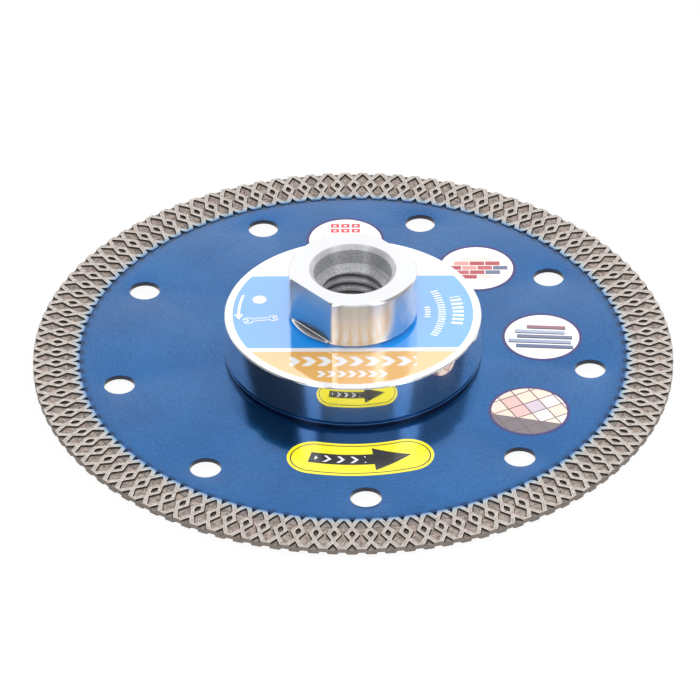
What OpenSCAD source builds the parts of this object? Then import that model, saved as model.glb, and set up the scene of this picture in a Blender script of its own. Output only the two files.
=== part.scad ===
// Diamond blade for dry tile cutting: a thin steel core with a sintered
// mesh-turbo rim, carried by a screwed-on flange with an M14 spindle thread.
// Millimetres. The thread's axis is Z and the hub points up. z = 0 is the
// face of the back reinforcing ring, on which the blade lies when put down.

/* [Disc] */
// Outside diameter over the diamond rim
disc_d = 125; // [120:1:130]
// Thickness of the steel core
core_t = 1.0; // [0.8:0.1:1.2]
// Thickness of the diamond rim, both relief layers included
rim_t = 1.4; // [1.3:0.1:1.6]
// Radial height of the diamond rim
rim_h = 9.1; // [9:0.1:9.4]
// Width of the core's thin tongue, which the rim is sintered round
tongue_w = 2.3; // [2:0.1:2.6]
// Diameter of the core's arbor bore
bore_d = 22.23; // [20:0.01:23]

/* [Cooling holes] */
// Number of cooling holes
cooling_n = 9; // [6:1:9]
// Diameter of a cooling hole
cooling_d = 6; // [4:0.5:7]
// Pitch circle diameter of the cooling holes
cooling_pcd = 93; // [91:1:95]
// Angle of the first cooling hole
cooling_a = 32.8; // [30:0.1:36]

/* [Mesh relief] */
// Number of mesh cells round the rim
cell_n = 108; // [100:1:110]
// Depth of the relief on each face
relief_t = 0.45; // [0.3:0.05:0.5]
// Angle of the first mesh cell
mesh_a = -0.36; // [-1.6:0.01:1.6]
// Half width of the large pockets
pocket_w = 1.33; // [1:0.01:1.34]
// Half width of the small diamonds
diamond_w = 0.48; // [0.3:0.01:0.5]

/* [Reinforcing rings] */
// Outside diameter of the welded-on rings
ring_d = 50.2; // [50:0.1:54]
// Thickness of each ring
ring_t = 1.0; // [0.5:0.1:1.1]

/* [Flange] */
// Outside diameter of the flange
flange_d = 50; // [48:0.5:50]
// Height of the flange's face above the core
flange_h = 9.4; // [8.5:0.1:11]
// Chamfer on the lower edge of the flange
foot_chamfer = 0.6; // [0.3:0.1:0.9]
// Diameter of the hub
hub_d = 25; // [24:0.5:26]
// Height of the hub above the flange's face
hub_h = 10.5; // [9:0.5:12]
// Width across the hub's two wrench flats
flats_af = 22; // [21:0.5:23]
// Direction that the first wrench flat faces
flats_a = 42.7; // [0:0.1:90]
// Height above the flange's face at which the flats end on a round ledge
foot_h = 1.3; // [1.2:0.1:2]
// Height of the turned groove under that ledge
groove_h = 1.05; // [0.8:0.05:1.1]
// Diameter of the hub in the groove
groove_d = 21.8; // [20.5:0.1:21.9]

/* [Spindle thread] */
// Nominal diameter of the spindle thread
thread_d = 14; // [13.8:0.1:14.2]
// Pitch of the spindle thread
thread_p = 2; // [1.5:0.25:2]
// Diameter of the plain counterbore at the mouth
mouth_d = 15.2; // [14.8:0.1:16]
// Depth of the counterbore, with its chamfer
mouth_h = 3.9; // [3:0.1:5]

/* [Screws] */
// Number of countersunk screws that hold the flange
screw_n = 6; // [3:1:6]
// Nominal diameter of a screw
screw_d = 4; // [3:0.5:4]
// Diameter of a screw's countersunk head
head_d = 7.5; // [7:0.1:7.6]
// Overall length of a screw
screw_l = 8; // [7:0.5:9]
// Pitch circle diameter of the screws
screw_pcd = 36; // [34:0.5:38]

/* [Labels] */
// Thickness of the printed foil on the flange
foil_t = 0.05; // [0.03:0.01:0.1]
// Thickness of the transfer labels on the core
transfer_t = 0.03; // [0.02:0.01:0.05]
// Diameter of the round labels
round_d = 15.8; // [13:0.2:16]
// Width of the curved rotation label
arrow_w = 10; // [6:0.5:10]

/* [Hidden] */
$fn = 96;
eps = 0.01;

// Levels, from the back ring's face up
core_z = ring_t;
face_z = core_z + core_t;
seat_z = face_z + ring_t;
flange_z = face_z + flange_h;
hub_z = flange_z + hub_h;
web_z = core_z + core_t / 2 - rim_t / 2 + relief_t;
web_t = rim_t - 2 * relief_t;
screw_z = 0.1;

// Radii
disc_r = disc_d / 2;
step_r = disc_r - rim_h;
tongue_r = step_r + tongue_w;
flange_r = flange_d / 2;
hub_r = hub_d / 2;
groove_r = groove_d / 2;
mouth_r = mouth_d / 2;
thread_minor_r = (thread_d - 1.0825 * thread_p) / 2;
spigot_r = bore_d / 2 - 0.015;
head_r = head_d / 2;
shank_r = screw_d / 2;

// ---- Core -------------------------------------------------------------

module tube(outer, inner, h) {
    difference() {
        cylinder(r = outer, h = h);
        translate([0, 0, -eps]) cylinder(r = inner, h = h + 2 * eps);
    }
}

module at_screws() {
    for (i = [0 : screw_n - 1]) rotate(i * 360 / screw_n)
        translate([screw_pcd / 2, 0, 0]) children();
}

// Countersink for a screw, cut up from the back face, with its clearance hole
module screw_recess() {
    gap = 0.03;
    hole_r = shank_r + 0.2;
    mouth = head_r + gap + screw_z + eps;
    translate([0, 0, -eps]) {
        cylinder(r1 = mouth, r2 = hole_r, h = mouth - hole_r);
        cylinder(r = hole_r, h = seat_z + 2 * eps);
    }
}

// Steel disc with a stepped-down tongue at its edge
module core() {
    color([0.20, 0.38, 0.66])
        difference() {
            union() {
                translate([0, 0, core_z]) cylinder(r = step_r, h = core_t);
                translate([0, 0, web_z]) cylinder(r = tongue_r, h = web_t);
            }
            translate([0, 0, core_z - eps]) cylinder(d = bore_d, h = core_t + 2 * eps);
            for (i = [0 : cooling_n - 1]) rotate(cooling_a + i * 360 / cooling_n)
                translate([cooling_pcd / 2, 0, core_z - eps])
                    cylinder(d = cooling_d, h = core_t + 2 * eps);
            at_screws() screw_recess();
        }
}

// ---- Diamond rim ------------------------------------------------------

// A point of a mesh cell, from its depth below the rim's edge and its
// distance to the side of the cell's centre line
function cell_point(depth, side) =
    let (r = disc_r - depth) [sqrt(r * r - side * side), side];

// A closed outline from the points on one side of the centre line
function mirrored(half) = concat(
    [for (p = half) cell_point(p[0], p[1])],
    [for (i = [len(half) - 1 : -1 : 0]) if (half[i][1] > 0)
        cell_point(half[i][0], -half[i][1])]
);

// An outer and an inner pocket, joined by a neck
pockets = [
    [0.3, 0], [2.45, pocket_w + 0.09], [4.45, 0.5], [6.55, pocket_w], [8, 0.72], [8.6, 0]
];
// The blind diamond where the ridges cross
diamond = [[3.6, 0], [4.5, diamond_w], [5.4, 0]];
// The notches in the outer edge and in the heel, on the core's step
edge_notch = [[1.3, 0], [-0.5, 1.13]];
heel_notch = [[7.6, 0], [rim_h + 0.2, 1.01]];

module relief() {
    cell_a = 360 / cell_n;
    linear_extrude(relief_t + eps)
        for (i = [0 : cell_n - 1]) {
            rotate(i * cell_a) {
                polygon(mirrored(diamond));
                polygon(mirrored(edge_notch));
                polygon(mirrored(heel_notch));
            }
            rotate((i + 0.5) * cell_a) polygon(mirrored(pockets));
        }
}

// Sintered ring with a mesh relief sunk in both faces, where the back one is
// turned by half a cell. A groove in its bore takes the core's tongue.
module diamond_rim() {
    low_z = web_z - relief_t;
    color([0.66, 0.64, 0.61])
        difference() {
            translate([0, 0, low_z]) tube(disc_r, step_r, rim_t);
            translate([0, 0, web_z]) cylinder(r = tongue_r, h = web_t);
            translate([0, 0, web_z + web_t]) rotate(mesh_a) relief();
            translate([0, 0, low_z - eps]) rotate(mesh_a + 180 / cell_n) relief();
        }
}

// ---- Reinforcing rings ------------------------------------------------

// Thin steel ring with a small chamfer on its free outer edge, on top
module reinforcing_ring() {
    edge = 0.15;
    rotate_extrude() polygon([
        [bore_d / 2, 0], [ring_d / 2, 0], [ring_d / 2, ring_t - edge],
        [ring_d / 2 - edge, ring_t], [bore_d / 2, ring_t]
    ]);
}

module front_reinforcing_ring() {
    color([0.20, 0.38, 0.66])
        difference() {
            translate([0, 0, face_z]) reinforcing_ring();
            at_screws() screw_recess();
        }
}

module back_reinforcing_ring() {
    color([0.20, 0.38, 0.66])
        difference() {
            translate([0, 0, core_z]) mirror([0, 0, 1]) reinforcing_ring();
            at_screws() screw_recess();
        }
}

// ---- Flange -----------------------------------------------------------

// Turned flange with hub, spigot and spindle thread. The thread is drawn as
// a plain hole of its minor diameter.
module threaded_flange() {
    mouth_chamfer = 0.85;
    step = 1.0;
    lead_in = 0.6;
    hub_edge = 0.4;
    rim_edge = 0.2;
    profile = [
        [thread_minor_r + lead_in, screw_z],
        [thread_minor_r, screw_z + lead_in],
        [thread_minor_r, hub_z - mouth_h - step],
        [mouth_r, hub_z - mouth_h],
        [mouth_r, hub_z - mouth_chamfer],
        [mouth_r + mouth_chamfer, hub_z],
        [hub_r - hub_edge, hub_z],
        [hub_r, hub_z - hub_edge],
        [hub_r, flange_z + groove_h],
        [groove_r, flange_z + groove_h],
        [groove_r, flange_z],
        [flange_r - rim_edge, flange_z],
        [flange_r, flange_z - rim_edge],
        [flange_r, seat_z + foot_chamfer],
        [flange_r - foot_chamfer, seat_z],
        [spigot_r, seat_z],
        [spigot_r, screw_z]
    ];
    color([0.80, 0.80, 0.80])
        difference() {
            rotate_extrude() polygon(profile);
            for (side = [0, 180]) rotate(flats_a + side)
                translate([flats_af / 2, -hub_r, flange_z + foot_h])
                    cube([hub_r, 2 * hub_r, hub_h]);
            at_screws() translate([0, 0, seat_z - eps])
                cylinder(r = shank_r, h = screw_z + screw_l + 0.5 - seat_z);
        }
}

// Countersunk socket screws, put in from the back
module flange_screws() {
    socket_af = 2.5;
    socket_h = 1.4;
    shank = shank_r - eps;
    color([0.16, 0.16, 0.17])
        at_screws() translate([0, 0, screw_z])
            difference() {
                union() {
                    cylinder(r1 = head_r, r2 = shank, h = head_r - shank);
                    cylinder(r = shank, h = screw_l);
                }
                translate([0, 0, -eps])
                    cylinder(d = socket_af / cos(30), h = socket_h, $fn = 6);
            }
}

// ---- Labels -----------------------------------------------------------

// Ring of printed foil round the hub
module flange_label() {
    color([0.45, 0.70, 0.93])
        translate([0, 0, flange_z]) tube(flange_r - 0.25, groove_r + 0.1, foil_t);
}

// Curved label with round ends, which carries the rotation arrow
module rotation_label() {
    mid_r = 34.9;
    half_a = 15;
    middle_a = -87.8;
    color([0.95, 0.83, 0.10])
        translate([0, 0, face_z])
            linear_extrude(transfer_t)
                rotate(middle_a) union() {
                    intersection() {
                        difference() {
                            circle(mid_r + arrow_w / 2);
                            circle(mid_r - arrow_w / 2);
                        }
                        polygon([[0, 0], for (s = [-1, 1])
                            [2 * mid_r * cos(half_a), s * 2 * mid_r * sin(half_a)]]);
                    }
                    for (s = [-1, 1]) rotate(s * half_a)
                        translate([mid_r, 0]) circle(arrow_w / 2);
                }
}

// Round label on the core's face, at a radius and an angle
module round_label(r, angle, tint) {
    color(tint)
        rotate(angle) translate([r, 0, face_z]) cylinder(d = round_d, h = transfer_t);
}

module floor_tile_label() { round_label(38.5, 92.1, [0.96, 0.96, 0.97]); }

module brick_label() { round_label(37.7, 48.9, [0.93, 0.86, 0.84]); }

module slab_label() { round_label(37.4, 7.4, [0.78, 0.80, 0.85]); }

module mosaic_label() { round_label(39.1, -30.1, [0.80, 0.70, 0.66]); }

core();
diamond_rim();
front_reinforcing_ring();
back_reinforcing_ring();
threaded_flange();
flange_screws();
flange_label();
rotation_label();
floor_tile_label();
brick_label();
slab_label();
mosaic_label();
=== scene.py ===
"""Looks of the diamond blade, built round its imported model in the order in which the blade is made."""
import math

import bmesh
import bpy
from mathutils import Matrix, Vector, geometry, noise


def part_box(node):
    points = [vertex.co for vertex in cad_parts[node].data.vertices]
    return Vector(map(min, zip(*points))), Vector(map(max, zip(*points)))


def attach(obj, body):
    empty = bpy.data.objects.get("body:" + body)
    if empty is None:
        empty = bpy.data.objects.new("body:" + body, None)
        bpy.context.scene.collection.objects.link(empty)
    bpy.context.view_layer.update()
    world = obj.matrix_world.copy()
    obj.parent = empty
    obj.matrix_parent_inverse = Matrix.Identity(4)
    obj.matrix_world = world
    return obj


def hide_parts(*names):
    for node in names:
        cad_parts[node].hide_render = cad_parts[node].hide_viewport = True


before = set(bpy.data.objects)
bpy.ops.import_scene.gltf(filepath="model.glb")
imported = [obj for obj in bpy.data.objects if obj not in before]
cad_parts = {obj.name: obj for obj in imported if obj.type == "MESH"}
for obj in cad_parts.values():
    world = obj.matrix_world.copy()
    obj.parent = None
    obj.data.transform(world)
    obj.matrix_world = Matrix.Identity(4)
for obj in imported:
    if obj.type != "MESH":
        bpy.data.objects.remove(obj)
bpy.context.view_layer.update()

# ---- Camera -----------------------------------------------------------------------
# A long lens one metre from the blade, in front of it and 36 degrees above it, held a
# quarter of a degree off level. It aims close to the middle of the core's face.

elevation = math.radians(35.906)
distance = 1.0036
core_low, core_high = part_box("core")
aim = Vector((-0.0006, 0.0006, core_high.z + 0.0001))

lens = bpy.data.cameras.new("camera")
lens.lens = 263.9
lens.sensor_width = 36
camera = bpy.data.objects.new("camera", lens)
camera.location = aim + distance * Vector((0, -math.cos(elevation), math.sin(elevation)))
camera.rotation_euler = (math.pi / 2 - elevation, 0, 0)
camera.rotation_euler.rotate_axis("Z", math.radians(-0.28))
bpy.context.scene.collection.objects.link(camera)
bpy.context.scene.camera = camera

# ---- Studio -----------------------------------------------------------------------
# A white sweep under soft light. To the camera, and in reflections, the floor and the
# air are plain white; the floor still takes a little of the blade's shadow.


class Value:
    """A value or colour inside a finish. Arithmetic on it adds Math nodes."""

    def __init__(self, finish, socket):
        self.finish, self.socket = finish, socket

    def math(self, operation, *others):
        return self.finish.node("Math", [self, *others], operation=operation)

    def below(self, limit, blur=0.02):
        """1 where this is below the limit and 0 above it, with a soft step of twice the blur."""
        span = {"Value": self, "From Min": limit + blur, "From Max": limit - blur}
        return self.finish.node("MapRange", span, interpolation_type="SMOOTHSTEP")

    def between(self, low, high, blur=0.02):
        return self.below(high, blur) - self.below(low, blur)


for sign, operation in (("add", "ADD"), ("sub", "SUBTRACT"), ("mul", "MULTIPLY"), ("truediv", "DIVIDE")):
    setattr(Value, f"__{sign}__", lambda a, b, op=operation: a.math(op, b))
    setattr(
        Value, f"__r{sign}__",
        lambda a, b, op=operation: a.finish.node("Math", [b, a], operation=op),
    )


class Finish:
    """A material, or the world, being mixed."""

    def __init__(self, name=None, world=None):
        self.material = world or bpy.data.materials.new(name)
        self.material.use_nodes = True
        self.tree = self.material.node_tree
        self.tree.nodes.clear()

    def node(self, kind, inputs=(), output=0, stops=(), **settings):
        """Adds any shader node: its settings first, then its inputs by place or by name."""
        node = self.tree.nodes.new("ShaderNode" + kind)
        for name, setting in settings.items():
            setattr(node, name, setting)
        for place, (at, colour) in enumerate(stops):
            ramp = node.color_ramp
            ramp.interpolation = "CONSTANT"
            stop = ramp.elements.new(at) if place else ramp.elements[0]
            stop.color = (*colour, 1)
        for key, value in inputs.items() if isinstance(inputs, dict) else enumerate(inputs):
            socket = node.inputs[key]
            if isinstance(value, Value):
                self.tree.links.new(value.socket, socket)
            elif socket.type == "RGBA":
                socket.default_value = (*value, 1)
            else:
                socket.default_value = value
        return Value(self, node.outputs[output]) if node.outputs else None

    def mix(self, factor, a, b):
        """Colour b over colour a."""
        return self.node("Mix", {0: factor, 6: a, 7: b}, output=2, data_type="RGBA")

    def surface(self, inputs):
        self.node("OutputMaterial", [self.node("BsdfPrincipled", inputs)])
        return self.material


def split(finish, vector):
    return [finish.node("SeparateXYZ", [vector], output=axis) for axis in "XYZ"]


def ray(finish, *kinds):
    """1 for rays of these kinds. The camera's, gloss and glass show the backdrop."""
    flags = [finish.node("LightPath", output=f"Is {kind} Ray") for kind in kinds]
    return flags[0] if len(flags) == 1 else flags[0].math("MAXIMUM", flags[1])


white = (1, 1, 1)
soft_light = 0.78
sky = Finish(world=bpy.data.worlds.new("sky"))
east, north, up = split(sky, sky.node("TexCoord", output="Generated"))
bearing = east.math("ARCTAN2", 0 - north) * (180 / math.pi)
# What gloss meets: a white tent behind the blade and overhead, and in front of it a dark
# room with two strip lights, about 38 degrees left and 48 degrees right of the camera
tent = (1 - bearing.between(-115, 118, 9)).math("MAXIMUM", 1 - up.below(0.88, 0.06))
room = 0.02 + 0.35 * bearing.between(58, 116, 6) + 0.55 * bearing.between(-22, 34, 5)
room = room + 1.8 * bearing.between(-46, -29, 4) + 1.9 * bearing.between(37, 58, 4)
gloss_light = room + (1.15 - room) * tent
sky.node("OutputWorld", [sky.node("Background", {
    "Color": white,
    "Strength": soft_light + (1 - soft_light) * ray(sky, "Camera", "Transmission")
    + (gloss_light - soft_light) * ray(sky, "Glossy"),
})])
bpy.context.scene.world = sky.material

sweep = Finish("white_sweep")
paper = sweep.node("BsdfDiffuse", {"Color": (0.9, 0.9, 0.9)})
glow = sweep.node("Emission", {"Color": white, "Strength": 1.0})
shown = ray(sweep, "Camera", "Transmission").math("MAXIMUM", ray(sweep, "Glossy"))
sweep.node("OutputMaterial", [sweep.node("MixShader", [0.94 * shown, paper, glow])])

floor_size = 6.0
floor_drop = 0.0001
floor_mesh = bpy.data.meshes.new("floor")
floor_mesh.from_pydata(
    [(x * floor_size, y * floor_size, -floor_drop) for x, y in ((-1, -1), (1, -1), (1, 1), (-1, 1))],
    [], [(0, 1, 2, 3)],
)
floor_mesh.materials.append(sweep.material)
floor = bpy.data.objects.new("floor", floor_mesh)
bpy.context.scene.collection.objects.link(floor)


def soft_lamp(name, place, size, power):
    """A square lamp that points at the blade."""
    data = bpy.data.lights.new(name, "AREA")
    data.shape = "SQUARE"
    data.size = size
    data.energy = power
    lamp = bpy.data.objects.new(name, data)
    lamp.location = place
    lamp.rotation_euler = (-Vector(place)).to_track_quat("-Z", "Y").to_euler()
    lamp.visible_glossy = False
    bpy.context.scene.collection.objects.link(lamp)


soft_lamp("key", (-0.5, -0.35, 0.75), 0.5, 1.6)
soft_lamp("rim_light", (0.35, 0.7, 0.55), 0.6, 1.2)
soft_lamp("side_light", (0.28, 0.02, 0.2), 0.1, 0.3)
soft_lamp("front_light", (0, -0.25, 0.3), 0.15, 0.5)

bpy.context.scene.view_settings.view_transform = "Standard"

# ---- Core -------------------------------------------------------------------------
# Laser-cut disc of hardened steel, one millimetre thick, with nine cooling holes and
# six countersinks round its bore. Its edge is stepped down to a tongue for the rim. It
# is coated in a clear blue lacquer over brushed steel.

MM = 0.001


def ink(*levels):
    """A printed or painted colour, from its red, green and blue levels out of 255."""
    return tuple(((v / 255 + 0.055) / 1.055) ** 2.4 if v > 10 else v / 3295 for v in levels)


def circle(bm, x, y, radius, z, count):
    turns = [2 * math.pi * i / count for i in range(count)]
    return [bm.verts.new((x + radius * math.cos(a), y + radius * math.sin(a), z)) for a in turns]


def bridge(bm, one, two):
    """Quads between two closed rings of the same count."""
    for i in range(len(one)):
        j = (i + 1) % len(one)
        bm.faces.new((one[i], one[j], two[j], two[i]))


def flat_face(bm, edge, holes):
    """Fills the ring of vertices called edge, apart from the rings called holes."""
    rings = [edge, *holes]
    verts = [v for ring in rings for v in ring]
    sides, start = [], 0
    for ring in rings:
        sides += [(start + i, start + (i + 1) % len(ring)) for i in range(len(ring))]
        start += len(ring)
    found = geometry.delaunay_2d_cdt([v.co.xy for v in verts], sides, [], 0, 1e-6)
    index = [origin[0] for origin in found[3]]
    middles = [sum((v.co.xy for v in ring), Vector((0, 0))) / len(ring) for ring in holes]
    reach = [(ring[0].co.xy - middle).length for ring, middle in zip(holes, middles)]
    outer = max(v.co.xy.length for v in edge)
    for triangle in found[2]:
        corners = [verts[index[i]] for i in triangle]
        spot = sum((v.co.xy for v in corners), Vector((0, 0))) / 3
        in_hole = any((spot - m).length < r * 0.995 for m, r in zip(middles, reach))
        same_hole = any(all(v in ring for v in corners) for ring in holes)
        if not in_hole and not same_hole and spot.length < outer:
            bm.faces.new(corners)


def plate(outline, holes, count=360):
    """A flat plate. Its outline and each hole are profiles of (radius, height), from the top
    face round the edge to the bottom face; a hole also has its place and its count of sides."""
    bm = bmesh.new()
    rings = [circle(bm, 0, 0, r, z, count) for r, z in outline]
    cuts = [[circle(bm, x, y, r, z, sides) for r, z in cut] for x, y, cut, sides in holes]
    for stack in (rings, *cuts):
        for one, two in zip(stack, stack[1:]):
            bridge(bm, one, two)
    flat_face(bm, rings[0], [cut[0] for cut in cuts])
    flat_face(bm, rings[-1], [cut[-1] for cut in cuts])
    return bm


def rounded(radius, top, bottom, soft, steps=3):
    """Profile of an edge with its two corners rounded. A negative soft makes it a hole's."""
    arc = [math.pi / 2 * i / steps for i in range(steps + 1)]
    size = abs(soft)
    upper = [(radius - soft * (1 - math.sin(a)), top - size * (1 - math.cos(a))) for a in arc]
    return upper + [(r, top + bottom - z) for r, z in reversed(upper)]


def piece(name, bm, material, node, crease=35):
    """Makes the object from a mesh in millimetres. It rides on the blade in place of the node."""
    bmesh.ops.remove_doubles(bm, verts=bm.verts, dist=1e-4)
    bmesh.ops.dissolve_degenerate(bm, edges=bm.edges, dist=1e-5)
    bmesh.ops.recalc_face_normals(bm, faces=bm.faces)
    for face in bm.faces:
        face.smooth = True
    for edge in bm.edges:
        edge.smooth = len(edge.link_faces) == 2 and edge.calc_face_angle() < math.radians(crease)
    bmesh.ops.scale(bm, vec=(MM, MM, MM), verts=bm.verts)
    mesh = bpy.data.meshes.new(name)
    bm.to_mesh(mesh)
    bm.free()
    mesh.materials.append(material)
    body = bpy.data.objects.new(name, mesh)
    bpy.context.scene.collection.objects.link(body)
    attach(body, "root")
    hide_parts(node)


def place_mm(finish):
    """The point on the surface, in the blade's own frame, in millimetres."""
    spot = finish.node("TexCoord", output="Object")
    return finish.node("VectorMath", {0: spot, 3: 1 / MM}, operation="SCALE")


def from_axis(x, y):
    return (x * x + y * y).math("SQRT")


def repeat(value, step):
    """Goes from 0 to 1 over each step."""
    return (value / step).math("FRACT")


# The rim's mesh has this many cells, and is turned back by this many degrees
cells = 108
mesh_lean = 0.36


def off_pocket(angle):
    """Share of a cell, up to a half, between the angle and the middle of the nearest pocket."""
    return (repeat(angle + mesh_lean, 360 / cells) - 0.5).math("ABSOLUTE")


def lacquer(name):
    """Clear blue lacquer over brushed steel, a little mottled. Its steep walls are painted nearly black as
    shade, and a band along the rim's heel is painted darker as shade.
    """
    paint = Finish(name)
    spot = place_mm(paint)
    x, y, z = split(paint, spot)
    radius = from_axis(x, y)
    angle = y.math("ARCTAN2", x) * (180 / math.pi)
    strokes = paint.node("CombineXYZ", [angle * 0.22, radius * 3.2, z])
    brush = paint.node("TexNoise", {"Vector": strokes, "Scale": 1.0, "Detail": 6.0, "Roughness": 0.7})
    cloud = paint.node("TexNoise", {"Vector": spot, "Scale": 0.06, "Detail": 2.0})
    mottle = paint.node("TexNoise", {"Vector": spot, "Scale": 1.5, "Detail": 4.0, "Roughness": 0.7})
    fleck = paint.node("TexNoise", {"Vector": spot, "Scale": 2.6, "Detail": 4.0, "Roughness": 0.8})
    depth = brush * 0.7 + cloud * 0.5 + mottle * 0.5 + fleck * 1.3 - 1.0
    tone = paint.mix(depth, ink(4, 60, 118), ink(46, 120, 188))
    # Painted shade on the lacquer along the rim's heel, most of it at the rim's notches, with a mottled
    # darker band inside it
    lane = off_pocket(angle)
    heel_shade_mottled = radius.between(52.7, 53.4, 0.35) * (1 - lane.below(0.22, 0.16)) * (0.3 + mottle)
    heel_shade_mottled = heel_shade_mottled + radius.between(52.0, 53.4, 0.6) * (cloud + mottle - 0.75) * 0.6
    tone = paint.mix(heel_shade_mottled, tone, ink(12, 46, 84))
    # Steep faces, such as the holes' walls, the step and the rings' sides, are painted nearly black as
    # shade
    upright = paint.node("SeparateXYZ", [paint.node("NewGeometry", output="True Normal")], output="Z")
    wall_shade = upright.math("ABSOLUTE").below(0.35, 0.2)
    tone = paint.mix(wall_shade, tone, ink(4, 9, 38))
    return paint.surface({
        "Base Color": tone,
        "Metallic": 0.9 * (1 - wall_shade),
        "Roughness": 0.15 + mottle * 0.1,
        "Coat Weight": 0.5 - wall_shade * 0.45,
        "Coat Roughness": 0.07,
        "Normal": paint.node("Bump", {"Strength": 0.10, "Distance": 0.00003, "Height": brush + mottle}),
    })


blue_lacquer = lacquer("blue_lacquer")
core_low, core_high = core_low / MM, core_high / MM
rim_low, rim_high = (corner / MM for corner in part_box("diamond_rim"))
step_r = 53.4
tongue_r = core_high.x
tongue_t = 0.4
bore_r = 22.23 / 2
screw_ring_r = 18
screw_turns = [i * math.pi / 3 for i in range(6)]
screws = [(screw_ring_r * math.cos(a), screw_ring_r * math.sin(a)) for a in screw_turns]
screw_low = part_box("flange_screws")[0].z / MM
head_r = 3.75
shank_r = 2.0


def countersink(top, bottom):
    """Profile of a screw's recess between two levels: its clearance hole, then its cone."""
    clear_r = shank_r + 0.2
    wide = head_r + 0.03 + screw_low
    levels = [top] + [z for z in (wide - clear_r,) if bottom < z < top] + [bottom]
    return [(max(clear_r, wide - z), z) for z in levels]


middle_z = (core_high.z + core_low.z) / 2
edge = rounded(step_r, core_high.z, core_low.z, 0.08)
tongue = [(step_r, middle_z + tongue_t / 2), (tongue_r, middle_z + tongue_t / 2)]
tongue += [(r, 2 * middle_z - z) for r, z in reversed(tongue)]
outline = edge[:4] + tongue + edge[4:]
cooling_ring_r = 46.5
cooling_turns = [math.radians(32.8 + 40 * i) for i in range(9)]
cooling_hole = rounded(3, core_high.z, core_low.z, -0.1)
holes = [(cooling_ring_r * math.cos(a), cooling_ring_r * math.sin(a), cooling_hole, 72)
         for a in cooling_turns]
holes += [(x, y, countersink(core_high.z, core_low.z), 48) for x, y in screws]
holes.append((0, 0, [(bore_r, core_high.z), (bore_r, core_low.z)], 128))
piece("steel_core", plate(outline, holes, count=720), blue_lacquer, "core")

# ---- Diamond rim ------------------------------------------------------------------
# Sintered ring of diamond grit in a metal matrix, pressed and fired onto the core's
# tongue. Each face has a mesh of ridges with pockets between them, half a cell out of
# step with the other face. The ridge tops are ground bright; the pockets stay rough.

half_cell = math.pi / cells
disc_r = rim_high.x
relief = 0.45
# How far a wall has come in from the ridge's edge, and how far down it is there
wall = [(-0.09, 0), (-0.03, 0.008), (0.01, 0.03), (0.03, 0.08), (0.05, 0.36), (0.08, 0.41),
        (0.14, 0.435), (0.20, relief)]
# Half outlines, as depth below the rim's edge and distance from the cell's centre line
pocket = [(0.24, 0), (2.45, 1.43), (4.45, 0.30), (6.55, 1.34), (7.85, 0.64), (8.42, 0.27), (8.70, 0)]
diamond = [(3.36, 0), (3.95, 0.44), (4.50, 0.60), (5.05, 0.44), (5.64, 0)]
edge_notch = [(1.62, 0), (0, 0.94)]
heel_notch = [(7.70, 0), (disc_r - step_r, 0.66)]
mesh_turn = math.radians(-mesh_lean)


def inset(half, distance):
    """The closed half outline moved in."""
    def inward(a, b):
        along = (Vector(b) - Vector(a)).normalized()
        return Vector((along.y, -along.x))

    moved = []
    for i, (depth, side) in enumerate(half):
        before = half[i - 1] if i else (half[1][0], -half[1][1])
        after = half[i + 1] if i + 1 < len(half) else (before[0], -before[1])
        one, two = inward(before, (depth, side)), inward((depth, side), after)
        lean = (one + two).normalized()
        step = lean * distance / lean.dot(one)
        moved.append((depth + step.x, side + step.y if side else 0))
    return moved


def eased(half, cut, steps=3):
    """The half outline with its corners rounded off."""
    def toward(a, b, reach):
        span = Vector(b) - Vector(a)
        return Vector(a) + span * min(reach / span.length, 0.4)

    soft = []
    for i, corner in enumerate(half):
        before = half[i - 1] if i else (half[1][0], -half[1][1])
        after = half[i + 1] if i + 1 < len(half) else (before[0], -before[1])
        one, two = toward(corner, before, cut), toward(corner, after, cut)
        for k in range(steps + 1):
            t = k / steps
            spot = one * (1 - t) ** 2 + Vector(corner) * 2 * t * (1 - t) + two * t ** 2
            if corner[1]:
                soft.append(tuple(spot))
            elif (i == 0) == (t > 0.5) and t != 0.5:
                soft.append((spot.x, abs(spot.y)))
        if not corner[1]:
            middle = one * 0.25 + Vector(corner) * 0.5 + two * 0.25
            soft.insert(0 if i == 0 else len(soft), (middle.x, 0))
    return soft


def inset_notch(half, distance):
    """The same for a notch that runs out of the rim's edge or heel."""
    (tip, _), (mouth, width) = half
    slope = math.atan2(width, abs(mouth - tip))
    back = math.copysign(1 / math.sin(slope), mouth - tip)
    return [(tip + distance * back, 0), (mouth, width - distance / math.cos(slope))]


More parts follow.
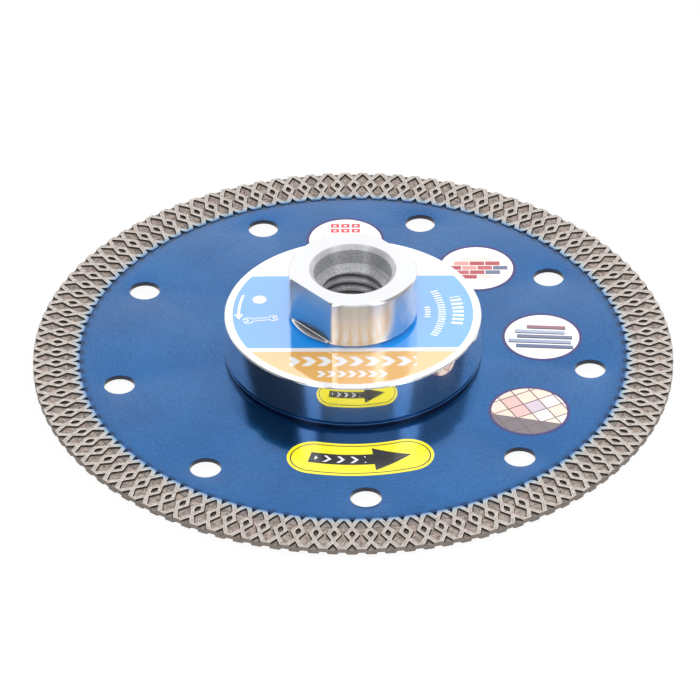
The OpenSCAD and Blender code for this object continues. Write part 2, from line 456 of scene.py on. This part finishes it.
def half_cell_face():
    """Points (radius, angle, drop) and triangles of one face of half a cell, from the centre
    line of the diamonds to that of the pockets."""
    points, sides = [], []

    def on_line(turn):
        return sorted((i for i, p in enumerate(points) if abs(p[1] - turn) < 1e-9),
                      key=lambda i: points[i][0])

    def on_arc(r):
        return sorted((i for i, p in enumerate(points) if abs(p[0] - r) < 1e-6),
                      key=lambda i: points[i][1])

    def draw(half, drop, from_pocket):
        start = len(points)
        for depth, side in half:
            turn = math.asin(side / (disc_r - depth))
            points.append((disc_r - depth, half_cell - turn if from_pocket else turn, drop))
        sides.extend((i, i + 1) for i in range(start, len(points) - 1))

    for distance, drop in wall:
        draw(eased(inset(pocket, distance), 0.24), drop, True)
        draw(eased(inset(diamond, distance), 0.10), drop, False)
        draw(inset_notch(edge_notch, distance), drop, False)
        draw(inset_notch(heel_notch, distance), drop, False)
    # The edge and the heel get the same angles on both faces, so that the faces can be joined
    for r in (disc_r, step_r):
        known = [(0, relief)] + [points[i][1:] for i in on_arc(r)] + [(half_cell, 0)]
        for turn in [half_cell - turn for turn, _ in known[1:-1]]:
            (a, low), (b, high) = next(pair for pair in zip(known, known[1:]) if turn < pair[1][0])
            points.append((r, turn, low + (high - low) * (turn - a) / (b - a)))
        points.extend([(r, 0, relief), (r, half_cell, 0)])
        sides.extend(zip(on_arc(r), on_arc(r)[1:]))
    for turn in (0, half_cell):
        sides.extend(zip(on_line(turn), on_line(turn)[1:]))
    flat = [Vector((r * math.cos(t), r * math.sin(t))) for r, t, _ in points]
    found = geometry.delaunay_2d_cdt(flat, sides, [], 0, 1e-7)
    assert len(found[0]) == len(points), "outlines of the mesh cross"
    triangles = [[found[3][i][0] for i in triangle] for triangle in found[2]]
    return points, [(i, j, k) for i, j, k in triangles
                    if abs((flat[j] - flat[i]).cross(flat[k] - flat[i])) > 1e-6
                    and max(points[i][0], points[j][0], points[k][0]) > step_r + 1e-6]


def mesh_rim():
    points, triangles = half_cell_face()
    bm = bmesh.new()
    for face_z, down, shift in ((rim_high.z, -1, 0), (rim_low.z, 1, half_cell)):
        for cell in range(cells):
            for hand in (1, -1):
                made = []
                for r, turn, drop in points:
                    a = mesh_turn + 2 * half_cell * cell + shift + hand * turn
                    made.append(bm.verts.new((r * math.cos(a), r * math.sin(a), face_z + down * drop)))
                for corners in triangles:
                    bm.faces.new([made[i] for i in corners])
    bmesh.ops.remove_doubles(bm, verts=bm.verts, dist=1e-4)
    # The outer edge and the bore: each stretch of one face's border is joined to the other's
    borders = {}
    for side in bm.edges:
        if len(side.link_faces) == 1:
            middle = (side.verts[0].co + side.verts[1].co) / 2
            where = (middle.xy.length > disc_r - 1, round(math.atan2(middle.y, middle.x), 6))
            borders.setdefault(where, []).append(side)
    for pair in borders.values():
        if len(pair) == 2:
            one, two = pair
            a, b = sorted(one.verts, key=lambda v: math.atan2(v.co.y, v.co.x))
            c, d = sorted(two.verts, key=lambda v: math.atan2(v.co.y, v.co.x))
            bm.faces.new((a, b, d, c))
    # Pressing and firing leave nothing quite straight
    for v in bm.verts:
        wander = noise.noise_vector(v.co * 0.9) * 0.035 + noise.noise_vector(v.co * 3.1) * 0.02
        if step_r + 0.3 < v.co.xy.length < disc_r - 0.05:
            v.co.x += wander.x
            v.co.y += wander.y
    return bm


def sintered(name):
    """Ground metal on the ridge tops and gritty pocket floors. The walls, the floors' feet beside them,
    the small diamonds and the edge notches are painted dark as shade, and the ridges' edges are painted
    light as a highlight.
    """
    metal = Finish(name)
    spot = place_mm(metal)
    x, y, z = split(metal, spot)
    radius = from_axis(x, y)
    facing = metal.node("SeparateXYZ", [metal.node("NewGeometry", output="True Normal")], output="Z")
    steep = facing.math("ABSOLUTE").below(0.62, 0.15)
    middle = (rim_high.z + rim_low.z) / 2
    half_t = rim_high.z - middle
    height = (z - middle).math("ABSOLUTE")
    top = 1 - height.below(half_t - 0.05, 0.02)
    brow_highlight = height.between(half_t - 0.05, half_t - 0.004, 0.004)
    foot = height.between(half_t - relief + 0.004, half_t - 0.3, 0.004)
    grit = metal.node("TexVoronoi", {"Vector": spot, "Scale": 7.0, "Randomness": 1.0})
    fine = metal.node("TexNoise", {"Vector": spot, "Scale": 5.0, "Detail": 4.0, "Roughness": 0.7})
    patch = metal.node("TexNoise", {"Vector": spot, "Scale": 1.3, "Detail": 3.0, "Roughness": 0.6})
    grain = (fine * 2.0 + patch * 1.6 - 1.3).math("MINIMUM", 1).math("MAXIMUM", 0)
    floor_tone = metal.mix(grain, ink(80, 71, 66), ink(208, 192, 182))
    # The core's tongue shows in the pockets, and its lacquer in the notches of the heel, darkened there as
    # painted shade
    floor_tone = metal.mix(radius.below(55.6, 0.1) * 0.25, floor_tone, ink(96, 106, 112))
    joint = radius.between(55.5, 55.8, 0.1) * (1 - top)
    floor_tone = metal.mix(joint * fine * 0.8, floor_tone, ink(58, 54, 54))
    angle = y.math("ARCTAN2", x) * (180 / math.pi)
    lane = off_pocket(angle)
    notch = radius.below(54.95, 0.05) * (1 - lane.below(0.2, 0.03))
    floor_tone = metal.mix(notch, floor_tone, ink(30, 56, 88))
    # The floors of the small diamonds and of the edge notches are painted darker as shade
    diamond_hole_shade = radius.between(56.4, 59.5, 0.1) * (1 - lane.below(0.3, 0.03))
    edge_notch_shade = (1 - radius.below(60.9, 0.3)) * (1 - lane.below(0.25, 0.03))
    floor_tone = metal.mix(diamond_hole_shade * 0.75 + edge_notch_shade * 0.35, floor_tone, ink(58, 49, 44))
    ridge_tone = metal.mix(grain, ink(148, 139, 132), ink(226, 217, 210))
    # The rounded edges of the ridge tops are painted near white as a highlight
    ridge_tone = metal.mix(brow_highlight * 0.7, ridge_tone, ink(250, 242, 236))
    ridge_tone = metal.mix(radius.below(54.6, 0.7) * 0.5, ridge_tone, ink(166, 200, 220))
    ridge_tone = metal.mix(radius.below(53.8, 0.3) * (0.2 + patch), ridge_tone, ink(88, 140, 198))
    tone = metal.mix(top, floor_tone, ridge_tone)
    # The steep walls and the floors' feet are painted dark as shade: the rim's outer wall darkest, the
    # notches' walls a shaded lacquer blue; the heel's wall keeps its pale lacquer
    outer = steep * (1 - radius.below(disc_r - 0.1, 0.03))
    wall_tone = metal.mix(outer, ink(36, 30, 26), metal.mix(grit, ink(82, 75, 70), ink(150, 142, 135)))
    wall_tone = metal.mix(notch, wall_tone, ink(26, 54, 78))
    wall_tone = metal.mix(radius.below(53.46, 0.02), wall_tone, ink(120, 158, 192))
    tone = metal.mix((steep + foot * 0.8).math("MINIMUM", 1) * (1 - brow_highlight) * 0.9, tone, wall_tone)
    rough = 0.75 - 0.4 * top + 0.15 * (fine - 0.5)
    pits = fine * 0.6 + grit * 0.4
    return metal.surface({
        "Base Color": tone,
        "Metallic": 0.3 + 0.5 * top,
        "Roughness": rough,
        "Anisotropic": 0.7,
        "Anisotropic Rotation": 0.25,
        "Normal": metal.node("Bump", {"Strength": 0.5, "Distance": 0.00008, "Height": pits}),
    })


piece("sintered_rim", mesh_rim(), sintered("sintered_metal"), "diamond_rim", crease=25)

# ---- Reinforcing rings ------------------------------------------------------------
# Two thin steel rings, spot-welded to the core's faces round its bore, to make the seat
# of the flange thicker. They are lacquered together with the core.

for node, free_side in (("front_reinforcing_ring", 1), ("back_reinforcing_ring", -1)):
    low, high = (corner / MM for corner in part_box(node))
    near, free = (low.z, high.z) if free_side > 0 else (high.z, low.z)
    edge = rounded(high.x, high.z, low.z, 0.15)[::free_side][:4] + [(high.x, near)]
    holes = [(x, y, countersink(high.z, low.z)[::free_side], 48) for x, y in screws]
    holes.append((0, 0, [(bore_r, free), (bore_r, near)], 128))
    piece(node.replace("reinforcing", "welded"), plate(edge, holes), blue_lacquer, node)

# ---- Threaded flange --------------------------------------------------------------
# Turned in one piece from steel bar, with a spigot through the core's bore, a hub with
# two wrench flats, and a tapped M14 x 2 thread below a plain counterbore. It is polished
# and bright-plated; the bore keeps its tool marks.

flange_low, flange_high = (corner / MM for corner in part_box("threaded_flange"))
face_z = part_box("flange_label")[0].z / MM
seat_z = (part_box("front_reinforcing_ring")[1] / MM).z
flange_r = flange_high.x
hub_r = 12.5
hub_z = flange_high.z
flat_r = 11.0
flat_turn = math.radians(42.7)
ledge_z = face_z + 1.3
groove_r, groove_z = 10.9, face_z + 1.05
spigot_r = bore_r - 0.015
thread_r, minor_r, pitch = 7.0, 5.9175, 2.0
mouth_r = 7.6
thread_top = hub_z - 3.9
lead_r = thread_r + 0.1


def flatted(radius, proud=0.0):
    """Radius of the hub at each angle, where its two flats cut it short."""
    def at(turn):
        lean = abs(math.cos(turn - flat_turn))
        return min(radius, (flat_r + proud) / max(lean, 1e-6))
    return at


def lathe(bm, rows, turns, x=0.0, y=0.0):
    """Turned skin through rows of (radius, height). A radius may depend on the angle."""
    rings = []
    for radius, z in rows:
        reach = [radius(t) if callable(radius) else radius for t in turns]
        rings.append([bm.verts.new((x + r * math.cos(t), y + r * math.sin(t), z))
                      for r, t in zip(reach, turns)])
    for one, two in zip(rings, rings[1:]):
        bridge(bm, one, two)


def cut_thread(bm, turns, low, high):
    """Skin of a right-handed thread between two heights, with a chamfer at each end."""
    steps = 16
    crest, flank, root = 4, 5, 2
    depth = thread_r - minor_r

    def radius(step):
        if step <= crest:
            return minor_r
        if step < crest + flank:
            return minor_r + depth * (step - crest) / flank
        if step <= crest + flank + root:
            return thread_r
        return thread_r - depth * (step - crest - flank - root) / flank

    def spot(row, turn):
        z = low + pitch * (row / steps + turn / (2 * math.pi))
        if z <= low or z >= high:
            z = min(max(z, low), high)
            r = lead_r if z == low else mouth_r
        else:
            cone = max(lead_r - (z - low), mouth_r - (mouth_r - minor_r) * (high - z))
            r = max(radius(row % steps), cone)
        return bm.verts.new((r * math.cos(turn), r * math.sin(turn), z))

    last = math.ceil((high - low) / pitch * steps) + 1
    grid = [[spot(row, turn) for turn in turns] for row in range(-steps, last + steps + 1)]
    for row in range(last + steps):
        one, two = grid[row], grid[row + 1]
        for i in range(len(turns) - 1):
            bm.faces.new((one[i], one[i + 1], two[i + 1], two[i]))
        if row + steps + 1 < len(grid):
            bm.faces.new((one[-1], grid[row + steps][0], grid[row + steps + 1][0], two[-1]))


def slope_top(turn):
    """Radius at which the outer part of each ledge starts to slope down."""
    return max(flatted(hub_r - 0.05, 0.16)(turn), hub_r - 0.55) + 0.01


half_flat = math.acos(flat_r / hub_r)
corners = [(flat_turn + s + e * half_flat) % (2 * math.pi) for s in (0, math.pi) for e in (-1, 1)]
turns = [2 * math.pi * i / 240 for i in range(240)]
turns = sorted([t for t in turns if min(abs(t - c) for c in corners) > 0.006] + corners)
skin = [
    (lead_r, flange_low.z),
    (spigot_r - 0.15, flange_low.z), (spigot_r, flange_low.z + 0.15), (spigot_r, seat_z),
    (flange_r - 0.6, seat_z), (flange_r - 0.03, seat_z + 0.56), (flange_r, seat_z + 0.66),
    (flange_r, face_z - 0.22), (flange_r - 0.03, face_z - 0.14), (flange_r - 0.14, face_z - 0.03),
    (flange_r - 0.22, face_z),
    (groove_r + 0.08, face_z), (groove_r, face_z + 0.08), (groove_r, groove_z),
    (hub_r - 0.05, groove_z), (hub_r, groove_z + 0.05), (hub_r, ledge_z - 0.17), (slope_top, ledge_z),
    (flatted(hub_r - 0.05, 0.16), ledge_z), (flatted(hub_r, 0.05), ledge_z + 0.05),
    (flatted(hub_r), ledge_z + 0.16),
    (flatted(hub_r), hub_z - 0.42), (flatted(hub_r - 0.04), hub_z - 0.34),
    (flatted(hub_r - 0.34), hub_z - 0.04), (flatted(hub_r - 0.42), hub_z),
    (mouth_r + 0.88, hub_z), (mouth_r + 0.80, hub_z - 0.04), (mouth_r + 0.04, hub_z - 0.78),
    (mouth_r, hub_z - 0.88), (mouth_r, thread_top),
]
flange_mesh = bmesh.new()
lathe(flange_mesh, skin, turns)
cut_thread(flange_mesh, turns, flange_low.z, thread_top)


def bright_plate(name):
    """Bright plating: a mirror on the flange's side, drawn out by turning marks on the hub, and
    duller and scored inside the mouth."""
    chrome = Finish(name)
    spot = place_mm(chrome)
    x, y, z = split(chrome, spot)
    radius = from_axis(x, y)
    angle = y.math("ARCTAN2", x)
    inside = radius.below(mouth_r + 0.03, 0.02)
    bevel = radius.below(mouth_r + 0.86, 0.02) - inside
    root = inside * (1 - radius.below(minor_r + 0.5, 0.3)) * z.below(thread_top - 1.7, 0.1)
    milled = radius.below(hub_r - 0.03, 0.02) * (1 - radius.below(flat_r - 0.05, 0.02))
    milled = milled * z.between(ledge_z + 0.02, hub_z - 0.02)
    round_marks = chrome.node("TexNoise", {
        "Vector": chrome.node("CombineXYZ", [angle * 0.6, radius * 2.0, z * 5.0]),
        "Scale": 1.6, "Detail": 4.0, "Roughness": 0.6,
    })
    drawn_marks = chrome.node("TexNoise", {
        "Vector": chrome.node("CombineXYZ", [angle * 26, radius * 0.3, z * 0.35]),
        "Scale": 1.2, "Detail": 5.0, "Roughness": 0.7,
    })
    blotch = chrome.node("TexNoise", {"Vector": spot, "Scale": 0.35, "Detail": 3.0})
    marks = chrome.mix(inside, round_marks, drawn_marks)
    tone = chrome.mix(z.below(hub_z - 0.3, 0.1), ink(238, 239, 241), ink(220, 222, 226))
    tone = chrome.mix(inside * (0.35 + drawn_marks * 0.65), tone, ink(196, 197, 200))
    scored = chrome.node("TexNoise", {"Vector": spot, "Scale": 2.4, "Detail": 4.0, "Roughness": 0.7})
    tone = chrome.mix(inside * (scored * 5.0 - 2.2).math("MAXIMUM", 0) * 0.5, tone, ink(120, 120, 122))
    tone = chrome.mix(bevel * 0.8, tone, chrome.mix(scored, ink(150, 151, 154), ink(232, 233, 235)))
    # The thread's roots deeper in the bore are painted dark as shade
    tone = chrome.mix(root * 0.6, tone, ink(70, 68, 66))
    side = 1 - radius.below(flange_r - 0.3, 0.05)
    bump = chrome.node("Bump", {"Strength": 0.10, "Distance": 0.00003, "Height": marks})
    drawn = chrome.node("BsdfPrincipled", {
        "Base Color": tone,
        "Metallic": 1 - inside * 0.35 - bevel * 0.4,
        "Roughness": 0.18 + blotch * 0.08 + inside * (0.15 + drawn_marks * 0.14) + bevel * 0.25
        + side * 0.12,
        "Anisotropic": 0.95,
        "Anisotropic Rotation": 0.25,
        "Normal": bump,
    })
    speck = 1 - chrome.node("TexNoise", {"Vector": spot, "Scale": 2.2, "Detail": 1.0}).below(0.76, 0.01)
    mirror = chrome.node("BsdfPrincipled", {
        "Base Color": chrome.mix(speck, ink(232, 234, 238), ink(70, 66, 64)),
        "Metallic": 1.0,
        "Roughness": 0.045 + blotch * 0.04 + milled * 0.16,
        "Normal": chrome.node("Bump", {"Strength": 0.06, "Distance": 0.00003, "Height": drawn_marks}),
    })
    shelf = z.between(ledge_z - 0.2, ledge_z + 0.02) * radius.between(flat_r + 0.1, hub_r + 0.1)
    polished = milled * 0.12 + side * 0.88 + shelf * 0.8
    chrome.node("OutputMaterial", [chrome.node("MixShader", [polished, drawn, mirror])])
    return chrome.material


piece("plated_flange", flange_mesh, bright_plate("bright_plate"), "threaded_flange",
      crease=20)

# ---- Flange screws ----------------------------------------------------------------
# Six M4 countersunk socket screws in black oxide. They come through the core from the
# back and pull the flange down on the front ring.

screw_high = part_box("flange_screws")[1].z / MM
socket_r = 1.25


def hexagon(turn):
    """Radius of the hexagon socket at an angle."""
    return socket_r / math.cos((turn + math.pi / 6) % (math.pi / 3) - math.pi / 6)


steps = [math.radians(7.5 * i) for i in range(48)]
screw_mesh = bmesh.new()
for x, y in screws:
    low = screw_low
    lathe(screw_mesh, [
        (0.0, low + 1.75), (hexagon, low + 1.4), (hexagon, low + 0.12), (socket_r + 0.32, low),
        (head_r - 0.12, low), (head_r - 0.03, low + 0.03), (head_r, low + 0.12), (shank_r, low + 1.87),
        (shank_r, screw_high - 0.3), (shank_r - 0.3, screw_high), (0.0, screw_high),
    ], steps, x, y)


def black_oxide(name):
    """Oiled black oxide, greyer in soft clouds."""
    oxide = Finish(name)
    spot = place_mm(oxide)
    cloud = oxide.node("TexNoise", {"Vector": spot, "Scale": 1.1, "Detail": 4.0})
    grain = oxide.node("TexNoise", {"Vector": spot, "Scale": 14.0, "Detail": 2.0})
    return oxide.surface({
        "Base Color": oxide.mix(cloud, ink(38, 38, 41), ink(66, 64, 66)),
        "Metallic": 0.8,
        "Roughness": 0.28 + cloud * 0.2,
        "Normal": oxide.node("Bump", {"Strength": 0.25, "Distance": 0.00004, "Height": grain}),
    })


piece("socket_screws", screw_mesh, black_oxide("black_oxide"), "flange_screws")

# ---- Flange label -----------------------------------------------------------------
# Ring of mirror-gloss foil stuck on the flange round the hub. It is printed in blue,
# orange and white, with an arrow, a dot, a wrench, scale marks and chevrons.


def dress(node, material):
    """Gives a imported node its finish."""
    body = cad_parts[node]
    for slot in body.material_slots:
        slot.material = material
    if not body.material_slots:
        body.data.materials.append(material)


def printed_foil(name):
    foil = Finish(name)
    x, y, z = split(foil, place_mm(foil))
    radius = from_axis(x, y)
    angle = y.math("ARCTAN2", x) * (180 / math.pi)
    field = radius.below(23.4, 0.04)
    blue = field * y.between(-11.6, 12.5)
    orange = field * y.below(-12.8)

    # Arrow for the way round, a dot, and a wrench across the flats
    arrow_r = 22.2
    off_line = (radius - arrow_r).math("ABSOLUTE")
    arrow = off_line.below(0.26) * y.between(-0.5, 6.1)
    arrow = arrow + y.between(-2.1, -0.3) * (off_line - (y + 2.1) * 0.5).below(0)
    arrow = arrow * x.below(0)
    dot = from_axis(x + 18.2, y - 4.6).below(1.35, 0.05)
    tilt = math.radians(9)
    u = (x + 17.9) * math.cos(tilt) + (y + 2.0) * math.sin(tilt)
    v = (y + 2.0) * math.cos(tilt) - (x + 17.9) * math.sin(tilt)
    handle = (v.math("ABSOLUTE") - 0.38).math("MAXIMUM", u.math("ABSOLUTE") - 2.4)
    ends = (from_axis(u + 2.5, v) - 0.95).math("MINIMUM", from_axis(u - 2.5, v) - 0.85)
    jaw = (v.math("ABSOLUTE") - 0.36).math("MAXIMUM", u.math("ABSOLUTE") * -1 + 2.5)
    wrench = handle.math("MINIMUM", ends).math("MAXIMUM", jaw * -1)
    wrench = wrench.math("ABSOLUTE").below(0.10, 0.05)
    # Scale marks on the right and chevrons in front
    marks = radius.between(19.4, 21.6) * angle.between(-11, 15) * repeat(angle, 3.6).below(0.5, 0.06)
    middle_marks = radius.between(16.6, 18.1) * angle.between(-26, 25)
    marks = marks + middle_marks * repeat(angle, 2.6).below(0.45, 0.06)
    marks = marks + radius.between(14.0, 15.1) * angle.between(-7, 9) * repeat(angle, 3.1).below(0.5, 0.06)
    for middle, tall, wide, step in ((-16.0, 1.5, 12.2, 3.05), (-20.1, 1.0, 6.9, 1.98)):
        off = (y - middle).math("ABSOLUTE")
        row = off.below(tall) * x.math("ABSOLUTE").below(wide)
        marks = marks + row * repeat(x + off * 0.9 + 30, step).below(0.52, 0.04)
    white_marks = (blue * (arrow + dot + wrench) + (blue + orange) * marks).math("MINIMUM", 1)

    tone = foil.mix(blue, ink(250, 250, 252), ink(32, 158, 253))
    tone = foil.mix(orange, tone, ink(242, 187, 104))
    tone = foil.mix(white_marks, tone, ink(250, 250, 252))
    haze = foil.node("TexNoise", {"Vector": place_mm(foil), "Scale": 0.8, "Detail": 3.0})
    return foil.surface({
        "Base Color": tone,
        "Roughness": 0.04 + haze * 0.04,
        "IOR": 3.6,
        "Normal": foil.node("Bump", {"Strength": 0.03, "Distance": 0.00003, "Height": haze}),
    })


dress("flange_label", printed_foil("printed_foil"))

# ---- Rotation label ---------------------------------------------------------------
# Curved yellow transfer on the core in front of the flange, with a black arrow for the
# way the blade turns.


def gloss_print(finish, tone, spot):
    """Print under clear varnish, not quite flat."""
    ripple = finish.node("TexNoise", {"Vector": spot, "Scale": 0.9, "Detail": 3.0})
    return finish.surface({
        "Base Color": tone,
        "Roughness": 0.14 + ripple * 0.10,
        "Coat Weight": 0.5,
        "Coat Roughness": 0.05,
        "Normal": finish.node("Bump", {"Strength": 0.08, "Distance": 0.00003, "Height": ripple}),
    })


def rotation_print(name):
    band = Finish(name)
    spot = place_mm(band)
    x, y, z = split(band, spot)
    middle_r = 34.9
    along = (x.math("ARCTAN2", 0 - y) - math.radians(2.2)) * middle_r
    across = from_axis(x, y) - middle_r
    off = across.math("ABSOLUTE")
    past_end = (along.math("ABSOLUTE") - math.radians(15) * middle_r).math("MAXIMUM", 0)
    from_spine = from_axis(across, past_end)
    tail = off.below(1.6) * along.between(-9.8, 2.6)
    head = along.between(2.5, 9.8) * (off - (9.8 - along) * 0.48).below(0)
    line = from_spine.between(4.1, 4.35)
    white_chevrons = off.below(1.0) * along.between(-8.8, 1.0)
    white_chevrons = white_chevrons * repeat(along + off + 40, 2.6).below(0.24, 0.04)
    dark = (tail + head + line).math("MINIMUM", 1)
    grain = band.node("TexNoise", {"Vector": spot, "Scale": 2.0, "Detail": 3.0})
    yellow = band.mix(grain, ink(246, 226, 22), ink(255, 242, 46))
    tone = band.mix(dark, yellow, ink(32, 31, 36))
    tone = band.mix(white_chevrons, tone, ink(235, 235, 238))
    return gloss_print(band, tone, spot)


dress("rotation_label", rotation_print("rotation_print"))

# ---- Round labels -----------------------------------------------------------------
# Four white transfers on the core, one for each thing that the blade cuts: floor tiles,
# bricks, stone slabs and small tiles. Each has a thin violet line round it.

round_r = 7.5


def box_mask(u, v, wide, tall):
    return u.math("ABSOLUTE").below(wide, 0.04) * v.math("ABSOLUTE").below(tall, 0.04)


def cells_of(finish, u, v):
    """A number from 0 to 1 for each unit square of u and v."""
    corner = finish.node("CombineXYZ", [u.math("FLOOR"), v.math("FLOOR"), 0.5])
    return finish.node("TexWhiteNoise", [corner])


def joints_of(u, v, share_u, share_v):
    """1 on the joints between the unit squares."""
    return u.math("FRACT").below(share_u, 0.03).math("MAXIMUM", v.math("FRACT").below(share_v, 0.04))


def floor_tiles(finish, u, v, paper):
    """Six red squares over a pale line."""
    grid_u, grid_v = u / 2.1 + 0.5, (v - 4.2) / 1.75
    inside = box_mask(u + 0.1, v - 4.2, 3.2, 1.8)
    open_square = joints_of(grid_u + 0.1, grid_v + 0.13, 0.2, 0.26)
    red = finish.mix(inside * (1 - open_square), paper, ink(214, 66, 74))
    heart = (grid_u.math("FRACT") - 0.5).math("ABSOLUTE").below(0.14)
    heart = heart * (grid_v.math("FRACT") - 0.5).math("ABSOLUTE").below(0.12)
    red = finish.mix(inside * heart, red, paper)
    return finish.mix(box_mask(u, v - 1.1, 4.6, 0.12), red, ink(160, 170, 214))


def bricks(finish, u, v, paper):
    """Bricks laid in a bond, stepped at the ends."""
    level = v / 1.55 + 0.5
    along = u / 3.1 + level.math("FLOOR") * 0.5
    kind = cells_of(finish, along, level)
    tone = finish.node("ValToRGB", [kind], stops=[
        (0.0, ink(176, 72, 84)), (0.3, ink(222, 156, 146)), (0.5, ink(104, 112, 140)),
        (0.68, ink(188, 92, 98)), (0.86, ink(236, 214, 206)),
    ])
    joint = joints_of(along, level, 0.06, 0.14)
    tone = finish.mix(joint, tone, ink(246, 240, 240))
    centre = (along.math("FLOOR") + 0.5 - level.math("FLOOR") * 0.5) * 3.1
    pile = (centre.math("ABSOLUTE") + (level.math("FLOOR") * 1.55).math("ABSOLUTE") * 0.7).below(5.0)
    return finish.mix(pile * v.math("ABSOLUTE").below(3.8), paper, tone)


def slabs(finish, u, v, paper):
    """Five stone slabs in a stack, each pushed along a little."""
    tone = paper
    for level, shift, wide, colour in (
        (-3.2, 0.4, 5.6, ink(92, 106, 142)), (-1.6, -0.5, 6.1, ink(150, 162, 188)),
        (0.0, 0.5, 5.4, ink(108, 114, 140)), (1.6, -0.4, 4.9, ink(166, 176, 200)),
        (3.2, 0.9, 3.8, ink(150, 104, 114)),
    ):
        rise = v - level + u * 0.07
        tone = finish.mix(box_mask(u - shift, rise, wide, 0.62), tone, colour)
        tone = finish.mix(box_mask(u - shift, rise + 0.5, wide, 0.16), tone, ink(52, 56, 78))
    return tone


def small_tiles(finish, u, v, paper):
    """Tiles laid askew, grey along the front."""
    turn = math.radians(28)
    across = (u * math.cos(turn) + v * math.sin(turn)) / 3.3
    along = (v * math.cos(turn) - u * math.sin(turn)) / 3.3 + 0.3
    tone = finish.node("ValToRGB", [cells_of(finish, across, along)], stops=[
        (0.0, ink(240, 214, 198)), (0.28, ink(222, 182, 176)), (0.5, ink(250, 240, 238)),
        (0.72, ink(206, 190, 204)), (0.88, ink(244, 224, 206)),
    ])
    tone = finish.mix((v + u * 0.25).below(-2.6, 0.1), tone, ink(112, 104, 110))
    return finish.mix(joints_of(across, along, 0.08, 0.08), tone, ink(104, 84, 84))


for node, art in (
    ("floor_tile_label", floor_tiles), ("brick_label", bricks),
    ("slab_label", slabs), ("mosaic_label", small_tiles),
):
    low, high = (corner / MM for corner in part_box(node))
    transfer = Finish(node.replace("label", "print"))
    spot = place_mm(transfer)
    x, y, z = split(transfer, spot)
    u, v = x - (low.x + high.x) / 2, y - (low.y + high.y) / 2
    tone = art(transfer, u, v, ink(249, 248, 251))
    outside = 1 - from_axis(u, v).below(round_r - 0.2, 0.05)
    tone = transfer.mix(outside, tone, ink(38, 30, 104))
    dress(node, gloss_print(transfer, tone, spot))
